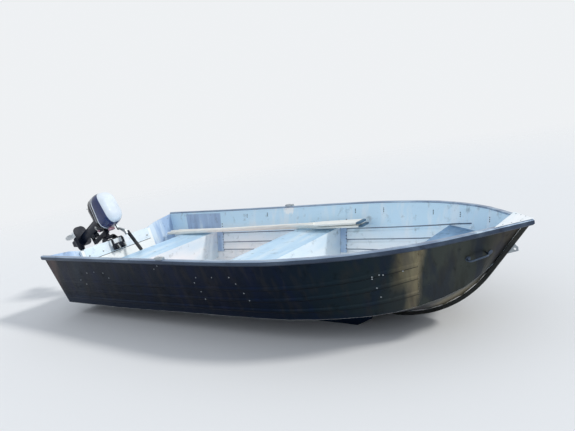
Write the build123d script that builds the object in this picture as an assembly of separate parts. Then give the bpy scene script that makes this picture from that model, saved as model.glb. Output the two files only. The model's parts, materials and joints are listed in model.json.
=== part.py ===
from build123d import *
import os
from math import atan2, cos, degrees, pi, radians, sin, sqrt, tan

# Open aluminium rowing boat with a small tilted outboard motor, in millimetres.
# +X is the bow, +Y is port and +Z is up. The origin is amidships, on the
# centreline, at the underside of the keel rail.

# Hull form
hull_length = 4180.0
hull_beam = 1684.0
hull_depth = 693.0
transom_rake = 12.0
forefoot_radius = 905.0
stem_angle = 50.5
keel_width = 30.0
keel_height = 28.0
plate = 3.0
seam = 0.4
seat = 0.3

# Stations from the transom to just short of the stem. The columns are
#   rail x, rail half beam, rail z, chine x, chine half beam, chine z,
# as shares of length from amidships, of half beam and of depth, then the
# heights of the three pressed ribs as shares of the side plate's height.
STATIONS = [
    (-0.500, 0.970, 0.866, -0.475, 0.831, 0.166, 0.14, 0.30, 0.50),
    (-0.287, 0.975, 0.882, -0.287, 0.831, 0.185, 0.14, 0.30, 0.50),
    (-0.096, 0.990, 0.902, -0.096, 0.821, 0.222, 0.14, 0.31, 0.51),
    (0.096, 0.992, 0.928, 0.096, 0.790, 0.245, 0.15, 0.33, 0.53),
    (0.191, 0.941, 0.942, 0.191, 0.727, 0.257, 0.16, 0.36, 0.56),
    (0.287, 0.818, 0.960, 0.284, 0.590, 0.281, 0.19, 0.42, 0.62),
    (0.376, 0.586, 0.975, 0.349, 0.433, 0.339, 0.24, 0.50, 0.70),
    (0.433, 0.345, 0.986, 0.407, 0.261, 0.462, 0.24, 0.50, 0.70),
]
seam_index = 6
# Places of the sections, counted in stations, closer together at the bow
PLACES = [0, 1, 1.5, 2, 2.5, 3, 3.5, 4, 4.5, 5, 5.5, 6, 6.5, 7, 7.5, 8]
stem_chine_z = 410.0
rib_width = 34.0
rib_flat = 16.0
rib_depth = 7.0

# Gunwale rail, an angle that caps the plating and stands proud of it
rail_proud = 30.0
rail_inner = 6.0
rail_height = 38.0
rail_lip = 12.0
sheer_drop = 13.2
rail_round = 8.0

# Transom
transom_dip = 77.0
dip_half_width = 400.0
dip_shoulder = 530.0
shoulder_drop = 30.0
pad_half_width = 430.0
pad_inner_thick = 34.0
pad_inner_depth = 330.0
pad_outer_thick = 8.0
pad_outer_half_width = 190.0
pad_outer_depth = 300.0
cap_wall = 2.5
drain_y = 70.0
cap_flange = 112.0

# Thwarts: name, aft edge x, fore edge x, top z
THWARTS = [
    ("aft_thwart", -1765.0, -1360.0, 395.0),
    ("mid_thwart", -230.0, 200.0, 440.0),
    ("bow_seat", 1312.0, 1700.0, 506.0),
]
thwart_sheet = 2.5
knee_overhang = 60.0
knee_sheet = 2.0
knee_top_gap = 16.0

# Bottom frames and the floorboard between the aft and mid thwarts
FRAME_XS = [-1150.0, -800.0, -450.0, 520.0, 900.0]
frame_width = 46.0
frame_top = 104.0
board_thick = 9.0
board_half_width = 395.0
board_gap = 12.0

# Bilge runners
runner_y = 240.0
runner_width = 26.0
runner_aft = -1880.0
runner_fore = 1020.0
runner_ramp = 120.0

# Rowlock sockets
socket_x = -385.0
socket_length = 86.0
socket_width = 44.0
socket_height = 15.0
socket_bore = 6.5

# Bow fittings
handle_length = 150.0
handle_reach = 34.0
handle_rod = 12.0
handle_x = 1790.0
handle_drop = 165.0
handle_lift = 1.2
eye_plate = 6.0
eye_length = 62.0
eye_reach = 44.0
eye_bore = 8.0
eye_z = 505.0
breasthook_length = 175.0
breasthook_thick = 4.0
breasthook_lift = 1.8
breasthook_inset = 4.0

# Oars
oar_length = 2500.0
oar_shaft = 42.0
oar_loom_end = 34.0
oar_grip = 31.0
oar_grip_length = 130.0
blade_length = 640.0
blade_width = 128.0
blade_thick = 15.0
blade_band = 40.0
oar_handle_x = -1985.0
oar_gap = 2.0
# Oars: name, then how far the handle's end and the blade's tip lie inside the
# side plate. The second oar lies over the first.
OARS = [("outer", 88.467, 62.423), ("inner", 138.467, 94.423)]

# Outboard motor, in its own frame: the origin is the tilt pivot, +X forward
# and +Z up with the leg upright. It is built raised by motor_tilt.
motor_tilt = 63.0
pivot_behind = 45.0
pivot_above = 34.0
motor_offset = -30.0
tilt_pin_radius = 9.0
pin_clearance = 0.05
clamp_plate = 12.0
clamp_half_gap = 56.0
clamp_reach = 92.0
clamp_bridge = 11.0
clamp_jaw = 26.0
clamp_jaw_depth = 104.0
thrust_rod = 7.0
thrust_gap = 5.0
thrust_drop = 212.0
screw_radius = 6.0
screw_y = 62.0
swivel_x = -60.0
swivel_radius = 24.0
swivel_bottom = -235.0
swivel_top = 14.0
steer_pin_radius = 13.0
yoke_gap = 6.0
yoke_thick = 14.0
pan_bottom = 30.0
pan_height = 75.0
cowl_centre = -232.0
cowl_length = 355.0
cowl_width = 231.0
cowl_height = 218.0
cowl_wall = 4.0
cowl_gap = 0.5
cowl_corner = 0.42
engine_size = (200.0, 125.0, 205.0)
leg_centre = -188.0
leg_chord_top = 126.0
leg_chord_low = 100.0
leg_width_top = 66.0
leg_width_low = 46.0
prop_axis_z = -530.0
plate_z = -410.0
plate_length = 225.0
plate_width = 150.0
plate_thick = 6.0
torpedo_radius = 35.0
torpedo_nose = -92.0
torpedo_tail = -256.0
skeg_depth = 92.0
skeg_chord = 105.0
skeg_thick = 9.0
skeg_setback = 62.0
prop_shaft_radius = 7.0
prop_radius = 107.0
prop_hub_radius = 27.0
prop_hub_length = 62.0
prop_pitch = 230.0
prop_blades = 3
prop_gap = 6.0
tiller_y = 120.0
tiller_root = (62.0, 175.0)
tiller_rise = 12.0
tiller_length = 240.0
grip_length = 118.0
grip_radius = 17.0
tiller_pin_radius = 6.0
ear_reach = 70.0
ear_fall = 59.0

os.makedirs("parts", exist_ok=True)
bow_x = hull_length / 2
stern_x = -hull_length / 2
half_beam = hull_beam / 2
UP = Vector(0, 0, 1)


def save(name, shape):
    """Write one node."""
    export_step(shape, f"parts/{name}.step")


# Profile of the stem and keel on the centreline
def stem_start():
    """X where the flat keel ends and the forefoot's arc begins."""
    arc_top = forefoot_radius * (1 - cos(radians(stem_angle)))
    arc_reach = forefoot_radius * sin(radians(stem_angle))
    return bow_x - (hull_depth - arc_top) / tan(radians(stem_angle)) - arc_reach


def stem_x(z, inset):
    """X of the stem at height z, moved inward by inset."""
    radius = forefoot_radius - inset
    angle = radians(stem_angle)
    arc_top = forefoot_radius - radius * cos(angle)
    if z < arc_top:
        return stem_start() + sqrt(radius ** 2 - (forefoot_radius - z) ** 2)
    return stem_start() + radius * sin(angle) + (z - arc_top) / tan(angle)


def keel_z(x, inset):
    """Height of the keel line at x, moved inward by inset."""
    radius = forefoot_radius - inset
    reach = x - stem_start()
    if reach <= 0:
        return inset
    if reach < radius * sin(radians(stem_angle)):
        return forefoot_radius - sqrt(radius ** 2 - reach ** 2)
    arc_top = forefoot_radius - radius * cos(radians(stem_angle))
    return arc_top + (reach - radius * sin(radians(stem_angle))) * tan(radians(stem_angle))


def raked_x(z):
    """X of the transom plane at height z."""
    return stern_x + (STATIONS[0][2] * hull_depth - z) * tan(radians(transom_rake))


# Points of the hull on the port side. Each takes a place s along the hull,
# counted in stations from 0 at the transom to LAST at the stem.
LAST = len(STATIONS)


def flowing(points, s):
    """Smooth curve through points, at place s along it."""
    i = min(int(s), len(points) - 2)
    t = s - i
    b, c = points[i], points[i + 1]
    a = points[i - 1] if i > 0 else b * 2 - c
    d = points[i + 2] if i + 2 < len(points) else c * 2 - b
    near = b * 2 + (c - a) * t
    far = (a * 2 - b * 5 + c * 4 - d) * t ** 2 + (b * 3 - a - c * 3 + d) * t ** 3
    return (near + far) * 0.5


def sized(x, y, z):
    return Vector(x * hull_length, y * half_beam, z * hull_depth)


stem_head = Vector(bow_x, 0, hull_depth)
stem_chine = Vector(stem_x(stem_chine_z, keel_height), keel_width / 3, stem_chine_z)
RAIL = [sized(*row[:3]) for row in STATIONS] + [stem_head]
CHINE = [sized(*row[3:6]) for row in STATIONS] + [stem_chine]
RIBS = [Vector(*row[6:]) for row in STATIONS] + [Vector(*STATIONS[-1][6:])]


def rail_edge(s):
    """Outer top edge of the rail."""
    return flowing(RAIL, s)


def rail_inward(s):
    """Level unit vector that points inward, square to the rail."""
    if s == 0:
        return Vector(0, -1, 0)
    before = rail_edge(max(s - 0.1, 0))
    after = rail_edge(min(s + 0.1, LAST))
    along = Vector(after.X - before.X, after.Y - before.Y, 0).normalized()
    return Vector(along.Y, -along.X, 0)


def rail_point(s, inward, down):
    """A point of the rail's section, inward from its edge and down from it."""
    edge = rail_edge(s)
    step = rail_inward(s) * inward
    if s == LAST:
        step = Vector(-inward / abs(rail_inward(s).X), 0, 0)
    point = edge + step - UP * down
    if s == 0:
        point = Vector(raked_x(point.Z), point.Y, point.Z)
    return point


def sheer_point(s):
    """Outer top corner of the side plate. It ends beside the stem bar."""
    if s < LAST:
        return rail_point(s, rail_proud + seat, sheer_drop)
    before = rail_point(PLACES[-2], rail_proud + seat, sheer_drop)
    mitre = rail_point(s, rail_proud + seat, sheer_drop)
    return before + (mitre - before) * (1 - keel_width / 3 / before.Y)


def chine_point(s):
    """Outer corner where side and bottom plates meet."""
    point = flowing(CHINE, s)
    if s == 0:
        return Vector(raked_x(point.Z), point.Y, point.Z)
    return point


def keel_point(s):
    """Outer corner of the bottom plate beside the keel rail."""
    if s == LAST:
        x = chine_point(s).X - keel_height * 1.6
    elif s == 0:
        x = raked_x(keel_height)
    else:
        x = chine_point(s).X
    return Vector(x, seam, keel_z(x, keel_height) + seam)


def corner(s):
    """Directions at the chine and the share of a wall that its mitre takes."""
    rise = (sheer_point(s) - chine_point(s)).normalized()
    run = (chine_point(s) - keel_point(s)).normalized()
    inward = Vector(0, -1, 0) if s == LAST else rail_inward(s)
    inward = (inward - rise * inward.dot(rise)).normalized()
    upward = run.cross(Vector(1, 0, 0)).normalized()
    upward = upward if upward.Z > 0 else upward * -1
    upward = (upward - run * upward.dot(run)).normalized()
    if s == LAST:
        upward = Vector(-run.Z, 0, run.X).normalized()
    angle = radians(rise.get_angle(run * -1))
    return rise, run, inward, upward, 1 / tan(angle / 2)


def side_corners(s, wall):
    """Top and chine corners of the side plate's face that lies wall inward."""
    rise, run, inward, upward, mitre = corner(s)
    top = sheer_point(s) + inward * wall
    low = chine_point(s) + inward * wall + rise * (wall * mitre)
    return top, low


def bottom_corners(s, wall):
    """Chine and keel corners of the bottom plate's face that lies wall up."""
    rise, run, inward, upward, mitre = corner(s)
    outer = chine_point(s) + upward * wall - run * (wall * mitre)
    inner = keel_point(s) + upward * wall
    if s == LAST:
        outer = outer - run * (2 * plate)
    if s < LAST:
        inner = inner + run * ((seam - inner.Y) / run.Y)
    return outer, inner


def place_at(x, curve):
    """Place s where a curve of the hull passes x, and the two points round it."""
    for low, high in zip(PLACES, PLACES[1:]):
        a, b = curve(low), curve(high)
        if a.X <= x <= b.X:
            share = (x - a.X) / (b.X - a.X)
            return low, high, share


def ring(points):
    return Wire(Polyline(*points, close=True).edges())


def mirrored(shape):
    return mirror(shape, Plane.XZ)


def rib_line(s, wall, depth):
    """The side plate's line from top to chine with its pressed ribs."""
    rise, run, inward, upward, mitre = corner(s)
    top, low = side_corners(s, wall)
    low = low + rise * seam
    height = (top - low).length
    flat = rib_flat / 2
    foot = rib_width / 2
    points = [top]
    for share in reversed(tuple(flowing(RIBS, s))):
        for offset, out in ((foot, 0), (flat, depth), (-flat, depth), (-foot, 0)):
            level = share * height + offset
            points.append(low + rise * level - inward * out)
    points.append(low)
    return points


def places(first, last):
    return [s for s in PLACES if first <= s <= last]


def side_plate():
    sections = []
    for s in places(0, seam_index):
        depth = 0.02 if s == 0 else rib_depth
        outer = rib_line(s, 0, depth)
        inner = rib_line(s, plate, depth)
        sections.append(ring(outer + inner[::-1]))
    return Solid.make_loft(sections, ruled=True)


def bow_plate():
    sections = []
    for s in places(seam_index, LAST):
        top_out, low_out = side_corners(s, 0)
        top_in, low_in = side_corners(s, plate)
        lift = corner(s)[0] * seam
        sections.append(ring([top_out, low_out + lift, low_in + lift, top_in]))
    return Solid.make_loft(sections, ruled=True)


def bottom_plate():
    sections = []
    for s in PLACES:
        chine_out, keel_out = bottom_corners(s, 0)
        chine_in, keel_in = bottom_corners(s, plate)
        sections.append(ring([chine_out, keel_out, keel_in, chine_in]))
    return Solid.make_loft(sections, ruled=True)


def hull_body(wall):
    """Closed solid of the hull's form, wall inside the plates' outer faces."""
    sections = []
    for s in PLACES[:-1]:
        top, low = side_corners(s, wall)
        inner = bottom_corners(s, wall)[1]
        centre = Vector(inner.X, 0, inner.Z)
        port = [top, low]
        starboard = [Vector(p.X, -p.Y, p.Z) for p in reversed(port)]
        sections.append(ring(port + [centre] + starboard))
    return Solid.make_loft(sections, ruled=True)


def gunwale_rail():
    """L-shaped rail lofted along the sheer. Each pair is inward and down."""
    profile = [
        (0, rail_round), (rail_round, 0), (rail_proud + rail_inner, 0),
        (rail_proud + rail_inner, rail_lip - seat), (rail_proud, rail_lip - seat),
        (rail_proud, rail_height), (rail_round, rail_height), (0, rail_height - rail_round),
    ]
    sections = []
    for s in PLACES:
        points = [rail_point(s, inward, down) for inward, down in profile]
        if s == LAST:
            points = [Vector(p.X, seam, p.Z) for p in points]
        sections.append(ring(points))
    return Solid.make_loft(sections, ruled=True)


def box(low, high):
    size = [b - a for a, b in zip(low, high)]
    centre = [(a + b) / 2 for a, b in zip(low, high)]
    return Pos(*centre) * Box(*size)


def profile_solid(points, half_width):
    """Closed outline in X and Z, spread half_width to each side of y = 0."""
    face = Plane.XZ * make_face(Polyline(*points, close=True))
    return extrude(face, half_width, both=True)


def keel_and_stem():
    angle = radians(stem_angle)

    def edge(inset, top):
        radius = forefoot_radius - inset
        start = (stem_start(), inset)
        aft = (raked_x(inset), inset)
        bend = (stem_start() + radius * sin(angle), forefoot_radius - radius * cos(angle))
        head = (stem_x(top, inset), top)
        return aft, start, bend, head

    top = hull_depth - rail_height - 2 * seat
    a0, a1, a2, a3 = edge(0, top)
    b0, b1, b2, b3 = edge(keel_height, top)
    outer = Line(a0, a1) + RadiusArc(a1, a2, -forefoot_radius) + Line(a2, a3)
    inner = Line(b0, b1) + RadiusArc(b1, b2, -(forefoot_radius - keel_height)) + Line(b2, b3)
    loop = outer + Line(a3, b3) + inner + Line(b0, a0)
    face = Plane.XZ * make_face(loop.edges())
    return extrude(face, keel_width / 2, both=True)


# Hull shell
save("side_plate_port", side_plate())
save("side_plate_starboard", mirrored(side_plate()))
save("bow_plate_port", bow_plate())
save("bow_plate_starboard", mirrored(bow_plate()))
save("bottom_plate_port", bottom_plate())
save("bottom_plate_starboard", mirrored(bottom_plate()))
save("keel_stem_bar", keel_and_stem())
rail = gunwale_rail()
save("gunwale_rail_port", rail)
save("gunwale_rail_starboard", mirrored(rail))
inside = hull_body(plate + seat)
outside = hull_body(-seat)


# Transom, drawn upright in a frame that leans aft by the rake. Its origin is
# the top of the plate's forward face on the centreline, +X forward.
rail_top = STATIONS[0][2] * hull_depth
dip_z = rail_top - transom_dip
transom_frame = Pos(raked_x(dip_z), 0, dip_z) * Rot(Y=-transom_rake)


def along_rake(z):
    """Height in the transom's frame of a point at height z."""
    return (z - dip_z) / cos(radians(transom_rake))


def transom_outline():
    sheer = sheer_point(0)
    chine = chine_point(0)
    half = [
        (0, along_rake(keel_height)),
        (chine.Y, along_rake(chine.Z)),
        (sheer.Y, along_rake(sheer.Z)),
        (dip_shoulder, along_rake(rail_top - shoulder_drop - rail_lip)),
        (dip_half_width, 0),
    ]
    return half + [(-y, z) for y, z in reversed(half[1:])]


def transom_slab(outline, near, far):
    """Outline in Y and Z of the transom's frame, from x = near to x = far."""
    face = Plane.YZ * make_face(Polyline(*outline, close=True))
    return transom_frame * (Pos(near, 0, 0) * extrude(face, far - near))


def transom_box(half_width, low, high, near, far):
    outline = [(-half_width, low), (half_width, low), (half_width, high), (-half_width, high)]
    return transom_slab(outline, near, far)


transom = transom_slab(transom_outline(), -plate - seat, -seat)
drain_z = along_rake(keel_z(0, keel_height) + 40)
drain_radius = 11.0
drain = transom_frame * (Pos(-plate, drain_y, drain_z) * Rot(Y=90) * Cylinder(drain_radius, 4 * plate))
save("transom_plate", transom - drain)
pad_in = transom_box(pad_half_width, -pad_inner_depth, -cap_wall - seat, seat, pad_inner_thick)
save("transom_pad_inner", pad_in & inside)
pad_aft = -plate - 2 * seat
pad_out = transom_box(
    pad_outer_half_width, -pad_outer_depth, -cap_wall - seat, pad_aft - pad_outer_thick, pad_aft
)
save("transom_pad_outer", pad_out)
cap_aft = pad_aft - pad_outer_thick - seat
cap_fore = pad_inner_thick + seat
cap = transom_box(
    dip_half_width - 4, -cap_flange, 2 * cap_wall, cap_aft - cap_wall, cap_fore + cap_wall
)
cap_room = transom_box(dip_half_width, -cap_flange - 1, cap_wall, cap_aft, cap_fore)
aft_trim = transom_box(
    dip_half_width, -cap_flange - 1, -cap_flange * 0.45, cap_aft - 2 * cap_wall, cap_aft
)
save("transom_cap", cap - cap_room - aft_trim)


# Thwarts are folded sheets, open below, with a foot flange on each face
def thwart(aft, fore, top):
    low = keel_height
    block = box((aft, -half_beam, low), (fore, half_beam, top))
    room = box(
        (aft + thwart_sheet, -half_beam, low - 1),
        (fore - thwart_sheet, half_beam, top - thwart_sheet),
    )
    return (block - room) & inside


def level_points(s, wall, low, high):
    """Points of the side plate's inner face at two heights, at place s."""
    first = max(p for p in PLACES[:-1] if p <= s)
    after = PLACES[PLACES.index(first) + 1]
    share = (s - first) / (after - first)
    top_a, foot_a = side_corners(first, wall)
    top_b, foot_b = side_corners(after, wall)
    top = top_a * (1 - share) + top_b * share
    foot = foot_a * (1 - share) + foot_b * share
    return [foot + (top - foot) * ((z - foot.Z) / (top.Z - foot.Z)) for z in (low, high)]


def knee(aft, fore, low):
    """Flat plate on the side's inner face, from a thwart up to the rail."""
    first, after, share = place_at(aft, sheer_point)
    start = first + share * (after - first)
    first, after, share = place_at(fore, sheer_point)
    end = first + share * (after - first)
    sections = []
    for s in [start] + [p for p in PLACES if start < p < end] + [end]:
        high = sheer_point(s).Z - knee_top_gap
        outer = level_points(s, plate + seat, low, high)
        inner = [point + corner(s)[2] * knee_sheet for point in outer]
        sections.append(ring(outer + inner[::-1]))
    return Solid.make_loft(sections, ruled=True)


for name, aft, fore, top in THWARTS:
    save(name, thwart(aft, fore, top))
    if name == "bow_seat":
        continue
    plate_name = name.replace("_thwart", "_knee_")
    knee_plate = knee(aft - knee_overhang, fore + knee_overhang, top + seat)
    save(plate_name + "port", knee_plate)
    save(plate_name + "starboard", mirrored(knee_plate))

# Bottom frames, each a bar cut to the vee of the bottom, and the floorboard
frames = []
for x in FRAME_XS:
    bar = box((x - frame_width / 2, -half_beam, 0), (x + frame_width / 2, half_beam, frame_top))
    frames.append(bar & inside)
save("floor_frames", Compound(children=frames))
board_aft = THWARTS[0][2] + board_gap
board_fore = THWARTS[1][1] - board_gap
board = box(
    (board_aft, -board_half_width, frame_top + seat),
    (board_fore, board_half_width, frame_top + seat + board_thick),
)
save("floorboard", board & inside)


# Bilge runners reach down to the keel's level, so the boat stands upright
def runner():
    half = runner_width / 2
    block = box((runner_aft, runner_y - half, 0), (runner_fore, runner_y + half, 4 * keel_height))
    ramp = make_face(
        Polyline(
            (runner_fore - runner_ramp, 0), (runner_fore + 1, 0),
            (runner_fore + 1, runner_ramp * 0.5), close=True,
        )
    )
    wedge = Pos(0, runner_y + runner_width, 0) * extrude(Plane.XZ * ramp, 2 * runner_width)
    return block - outside - wedge


save("bilge_runner_port", runner())
save("bilge_runner_starboard", mirrored(runner()))


# Rowlock sockets stand on the rail
def rail_at(x):
    low, high, share = place_at(x, rail_edge)
    a, b = rail_edge(low), rail_edge(high)
    return a + (b - a) * share


def socket():
    edge_y = rail_at(socket_x).Y
    edge_z = rail_at(socket_x + socket_length / 2).Z
    block = Box(socket_length, socket_width, socket_height)
    block = fillet(block.edges().filter_by(Axis.Z), socket_width * 0.3)
    block = block - Cylinder(socket_bore, socket_height)
    y = edge_y - (rail_proud + rail_inner) / 2 - 2
    return Pos(socket_x, y, edge_z + socket_height / 2 + seat) * block


save("rowlock_socket_port", socket())
save("rowlock_socket_starboard", mirrored(socket()))


# Grab handles on the bow, outside the plating
def side_point(x, drop):
    """A point on the bow plate's outer face, drop below its top edge."""
    low, high, share = place_at(x, sheer_point)
    top = sheer_point(low) * (1 - share) + sheer_point(high) * share
    foot = chine_point(low) * (1 - share) + chine_point(high) * share
    return top + (foot - top).normalized() * drop


def bow_handle():
    aft = side_point(handle_x, handle_drop)
    fore = side_point(handle_x + handle_length * 0.75, handle_drop)
    along = (fore - aft).normalized()
    fall = (side_point(handle_x, handle_drop + 50) - aft).normalized()
    out = along.cross(fall).normalized()
    out = out if out.Y > 0 else out * -1
    lift = out * handle_lift
    path = FilletPolyline(
        aft + lift, aft + out * handle_reach, fore + out * handle_reach, fore + lift,
        radius=handle_rod * 1.4,
    )
    section = Plane(origin=aft + lift, z_dir=out) * Circle(handle_rod / 2)
    return sweep(section, path=path)


save("bow_handle_port", bow_handle())
save("bow_handle_starboard", mirrored(bow_handle()))

# Bow eye, a plate with a hole on the front of the stem
eye_x = stem_x(eye_z, 0)
tang = profile_solid(
    [
        (stem_x(eye_z - eye_length / 2, -seat), eye_z - eye_length / 2),
        (eye_x + eye_reach, eye_z - 12), (eye_x + eye_reach, eye_z + 12),
        (stem_x(eye_z + eye_length / 2, -seat), eye_z + eye_length / 2),
    ],
    eye_plate / 2,
)
hole_x = eye_x + eye_reach * 0.55
eye_hole = Pos(hole_x, 0, eye_z) * Rot(X=90) * Cylinder(eye_bore, 4 * eye_plate)
save("bow_eye", tang - eye_hole)

# Breasthook, a plate on top of the two rails at the stem head
hook_aft = bow_x - breasthook_length
hook_y = rail_at(hook_aft).Y
hook_run = stem_head - rail_at(hook_aft)
hook_rise = degrees(atan2(hook_run.Z, hook_run.X))
hook_face = make_face(
    Polyline(
        (-breasthook_length, breasthook_inset - hook_y),
        (-breasthook_length, hook_y - breasthook_inset),
        (-1.5 * breasthook_inset, breasthook_inset), (-1.5 * breasthook_inset, -breasthook_inset),
        close=True,
    )
)
hook_place = Pos(bow_x, 0, hull_depth + breasthook_lift) * Rot(Y=-hook_rise)
save("breasthook", hook_place * extrude(hook_face, breasthook_thick))


# Oars lie along the port side on the aft and mid thwarts
def oar():
    """An oar along +X with its handle's end at the origin, blade level."""
    shaft_end = oar_length - blade_length * 0.8
    grip = Pos(oar_grip_length / 2, 0, 0) * Rot(Y=90) * Cylinder(oar_grip / 2, oar_grip_length)
    loom = Pos((oar_grip_length + shaft_end) / 2, 0, 0) * Rot(Y=90) * Cone(
        oar_shaft / 2, oar_loom_end / 2, shaft_end - oar_grip_length
    )
    neck = oar_length - blade_length
    half = blade_width / 2
    outline = make_face(
        Polyline(
            (neck, -oar_loom_end * 0.4), (neck + blade_length * 0.28, -half),
            (oar_length - blade_band - seat, -half * 0.96),
            (oar_length - blade_band - seat, half * 0.96),
            (neck + blade_length * 0.28, half), (neck, oar_loom_end * 0.4), close=True,
        )
    )
    blade = extrude(outline, blade_thick / 2, both=True)
    return grip + loom + blade


def oar_band():
    half = blade_width / 2
    tip = Pos(oar_length - blade_band / 2, 0, 0) * Box(blade_band, 2 * half * 0.96, blade_thick)
    return fillet(tip.edges().filter_by(Axis.Z).sort_by(Axis.X)[-2:], half * 0.3)


aft_top = THWARTS[0][3]
aft_edge = THWARTS[0][1]
mid_top = THWARTS[1][3]
mid_edge = THWARTS[1][1]
shaft_axis_z = aft_top + oar_shaft / 2 + 2 * seat
blade_root = oar_handle_x + oar_length - blade_length
# Places where each oar is held up: x, and the height of its axis there
OAR_RESTS = [(mid_edge, mid_top + oar_shaft / 2 - oar_gap)]
first_slope = (OAR_RESTS[0][1] - shaft_axis_z) / (mid_edge - aft_edge)
first_height = shaft_axis_z + first_slope * (blade_root - aft_edge)
OAR_RESTS.append((blade_root, first_height + oar_loom_end / 2 + blade_thick / 2 + oar_gap))


def wall_y(x):
    """Y of the side plate's inner face at x, level with the mid thwart's top."""
    first, after, share = place_at(x, sheer_point)
    return level_points(first + share * (after - first), plate, mid_top, mid_top)[0].Y


for (side, handle_in, tip_in), (rest_x, rest_z) in zip(OARS, OAR_RESTS):
    handle_y = wall_y(oar_handle_x) - handle_in
    tip_y = wall_y(oar_handle_x + oar_length) - tip_in
    slope = (rest_z - shaft_axis_z) / (rest_x - aft_edge)
    place = Pos(oar_handle_x, handle_y, shaft_axis_z + slope * (oar_handle_x - aft_edge))
    place = place * Rot(Z=degrees(atan2(tip_y - handle_y, oar_length)))
    place = place * Rot(Y=-degrees(atan2(slope, 1)))
    save(f"oar_{side}", place * oar())
    save(f"oar_band_{side}", place * oar_band())


# Motor clamp, fixed on the transom, drawn upright in the transom's frame
clamp_back = cap_aft - cap_wall - seat
clamp_over = 2 * cap_wall + seat
pivot_local = (clamp_back - pivot_behind, clamp_over + pivot_above)
lug = 22.0
jaw_in = clamp_reach - clamp_jaw
# The thrust rod lies just ahead of the swivel tube when the motor is down
rod_down = Vector(swivel_x + swivel_radius + thrust_rod + thrust_gap, 0, -thrust_drop)
rod_turned = rod_down.rotate(Axis.Y, transom_rake)
rod_x = pivot_local[0] + rod_turned.X
rod_z = pivot_local[1] + rod_turned.Z
clamp_outline = [
    (pivot_local[0] - lug, pivot_local[1] - 6), (pivot_local[0] - lug * 0.6, pivot_local[1] + lug),
    (pivot_local[0] + lug, pivot_local[1] + lug * 0.6), (clamp_back + lug, clamp_over + clamp_bridge),
    (clamp_reach - 20, clamp_over + clamp_bridge), (clamp_reach, -8),
    (clamp_reach, -clamp_jaw_depth), (jaw_in, -clamp_jaw_depth), (jaw_in, clamp_over),
    (clamp_back, clamp_over), (clamp_back, rod_z - 16), (rod_x - 14, rod_z - 16),
    (rod_x - 20, rod_z + 26),
]
clamp_mid = clamp_half_gap + clamp_plate / 2
clamp_side = profile_solid(clamp_outline, clamp_plate / 2)
tie = Pos(rod_x, 0, rod_z) * Rot(X=90) * Cylinder(thrust_rod, 2 * clamp_half_gap)
jaw_bar = box((jaw_in, -clamp_half_gap, -clamp_jaw_depth), (clamp_reach, clamp_half_gap, -40))
pin_hole = Pos(pivot_local[0], 0, pivot_local[1]) * Rot(X=90) * Cylinder(
    tilt_pin_radius + pin_clearance, 4 * clamp_half_gap
)
clamp = Pos(0, clamp_mid, 0) * clamp_side + Pos(0, -clamp_mid, 0) * clamp_side + tie + jaw_bar
screw_z = -clamp_jaw_depth + 26
for y in (-screw_y * 0.6, screw_y * 0.6):
    clamp = clamp - Pos(clamp_reach, y, screw_z) * Rot(Y=90) * Cylinder(
        screw_radius + 0.3, 4 * clamp_jaw
    )
clamp_place = Pos(0, motor_offset, 0) * transom_frame
save("clamp_bracket", clamp_place * (clamp - pin_hole))

screws = []
screw_out = 40.0
face_x = cap_fore + cap_wall + seat
for y in (-screw_y * 0.6, screw_y * 0.6):
    foot = Pos(face_x + 3, y, screw_z) * Rot(Y=90) * Cylinder(17, 6)
    stem_length = clamp_reach + screw_out - face_x
    rod = Pos(face_x + stem_length / 2, y, screw_z) * Rot(Y=90) * Cylinder(
        screw_radius, stem_length
    )
    bar = Pos(clamp_reach + screw_out - 6, y, screw_z) * Rot(X=18) * Box(12, 9, 48)
    screws.append(foot + rod + bar)
save("clamp_screws", clamp_place * Compound(children=screws))
pin = Pos(pivot_local[0], 0, pivot_local[1]) * Rot(X=90) * Cylinder(
    tilt_pin_radius, 2 * (clamp_half_gap + clamp_plate + 6)
)
save("tilt_pin", clamp_place * pin)

# Frame of the motor at rest
pivot_world = (clamp_place * Pos(pivot_local[0], 0, pivot_local[1])).position
motor_place = Pos(*pivot_world) * Rot(Y=motor_tilt)


def motor(name, shape):
    save(name, motor_place * shape)


def upright(x, low, high, radius, y=0):
    return Pos(x, y, (low + high) / 2) * Cylinder(radius, high - low)


# Swivel bracket: two lugs on the tilt pin and the steering tube
swivel_half = clamp_half_gap - 5.5
lug_bar = Rot(X=90) * Cylinder(19, 2 * swivel_half)
web = profile_solid([(0, 15), (swivel_x, swivel_top - 2), (swivel_x, -60), (0, -16)], 20)
skirt = profile_solid([(-30, -8), (swivel_x, -60), (swivel_x, swivel_bottom + 20)], 8)
tube = upright(swivel_x, swivel_bottom, swivel_top, swivel_radius)
steer_bore = upright(swivel_x, swivel_bottom - 5, swivel_top + 5, steer_pin_radius + pin_clearance)
tilt_bore = Rot(X=90) * Cylinder(tilt_pin_radius + pin_clearance, 4 * swivel_half)
motor("swivel_bracket", lug_bar + web + skirt + tube - steer_bore - tilt_bore)

# Steering yoke: a pin through the tube with an arm above and one below
yoke_top = swivel_top + yoke_gap
steer_pin = upright(
    swivel_x, swivel_bottom - yoke_gap - yoke_thick, pan_bottom - seat, steer_pin_radius
)
leg_front = leg_centre + leg_chord_top / 2
arm_top = box((leg_centre, -24, yoke_top), (swivel_x + 20, 24, pan_bottom - seat))
low_z = swivel_bottom - yoke_gap
arm_low = box((leg_front - 18, -18, low_z - yoke_thick), (swivel_x + 18, 18, low_z))


def leg_section(z, chord, width):
    """Streamlined section of the leg, nose forward."""
    nose = Ellipse(chord * 0.42, width / 2)
    tail = Polyline(
        (0, width / 2), (-chord * 0.58, 3), (-chord * 0.58, -3), (0, -width / 2), close=True
    )
    return Pos(leg_centre + chord * 0.08, 0, z) * (nose + make_face(tail))


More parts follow.
